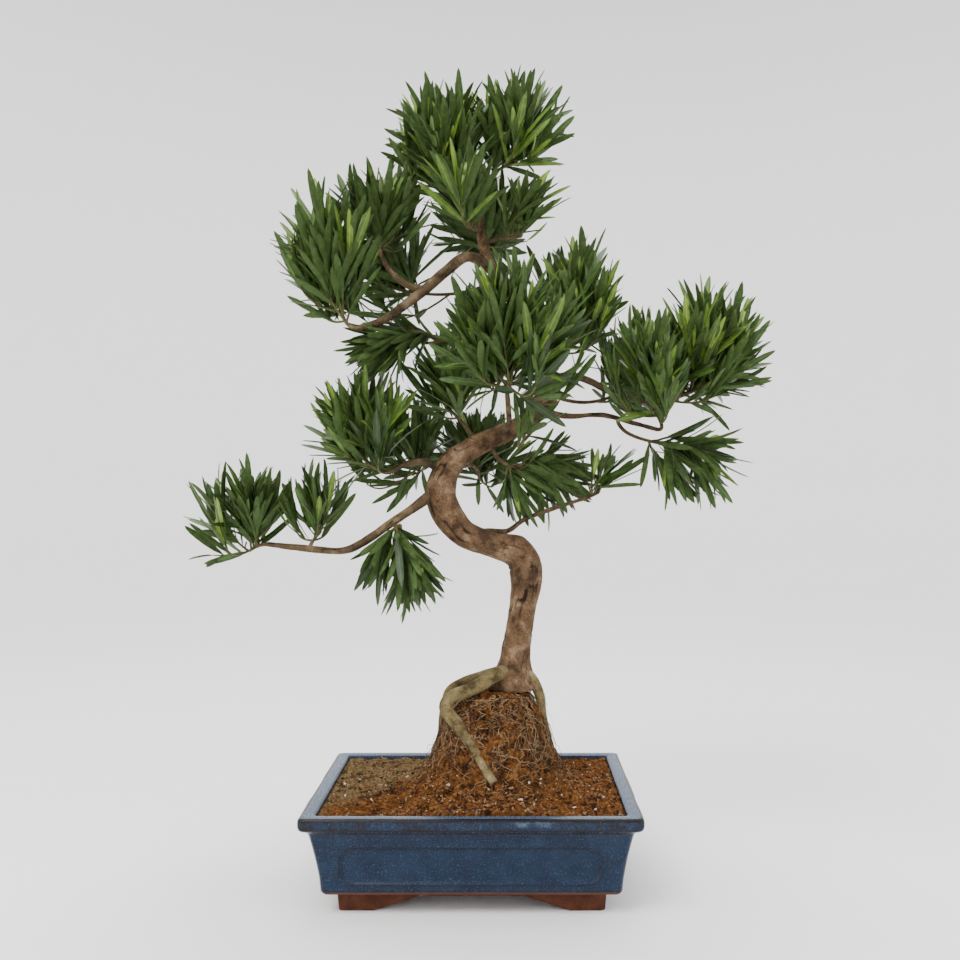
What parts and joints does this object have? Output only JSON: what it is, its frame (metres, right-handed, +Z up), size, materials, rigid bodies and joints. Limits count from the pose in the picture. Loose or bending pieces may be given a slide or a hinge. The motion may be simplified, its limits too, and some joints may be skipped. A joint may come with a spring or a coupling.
{
  "type": "buddhist pine bonsai in a glazed pot",
  "caption": "Podocarpus bonsai with a twice-bent trunk on an exposed root ball, tufts of narrow leaves, in a blue glazed rectangular pot with terracotta feet.",
  "frame": {"origin": "centre of the plant's outline seen from above, which is the pot's centre, on the plane the feet stand on", "axes": "+X along the pot to the right, +Y to the back, +Z up along the tree"},
  "size_m": [0.4194, 0.2385, 0.5917],
  "materials": {
    "blue_glaze": "gloss",
    "terracotta": "matte",
    "bark_soil": "matte",
    "trunk_bark": "matte",
    "root_bark": "matte",
    "bough_bark": "matte",
    "leaf_green": "satin"
  },
  "bodies": {
    "root": {"pot": "blue_glaze", "pot_base": "terracotta", "soil": "bark_soil", "trunk": "trunk_bark", "surface_root_front": "root_bark", "surface_root_right": "root_bark", "surface_root_back": "root_bark", "upper_left_bough": "bough_bark", "upper_left_spur": "bough_bark", "right_bough": "bough_bark", "right_low_bough": "bough_bark", "far_left_bough": "bough_bark", "mid_left_bough": "bough_bark", "lower_right_bough": "bough_bark", "front_bough": "bough_bark", "back_bough": "bough_bark", "low_back_bough": "bough_bark", "apex_right": "leaf_green", "apex_left": "leaf_green", "crown_right": "leaf_green", "crown_front": "leaf_green", "crown_back": "leaf_green", "left_top": "leaf_green", "left_outer": "leaf_green", "left_back": "leaf_green", "left_under": "leaf_green", "centre_front": "leaf_green", "right_upper": "leaf_green", "right_upper_back": "leaf_green", "centre_left": "leaf_green", "centre_back": "leaf_green", "right_inner": "leaf_green", "right_outer": "leaf_green", "right_back": "leaf_green", "right_hanging": "leaf_green", "lower_right": "leaf_green", "low_right": "leaf_green", "low_front": "leaf_green", "low_back": "leaf_green", "mid_left": "leaf_green", "mid_left_back": "leaf_green", "left_hanging": "leaf_green", "far_left_tip": "leaf_green", "far_left_inner": "leaf_green"}
  },
  "joints": []
}
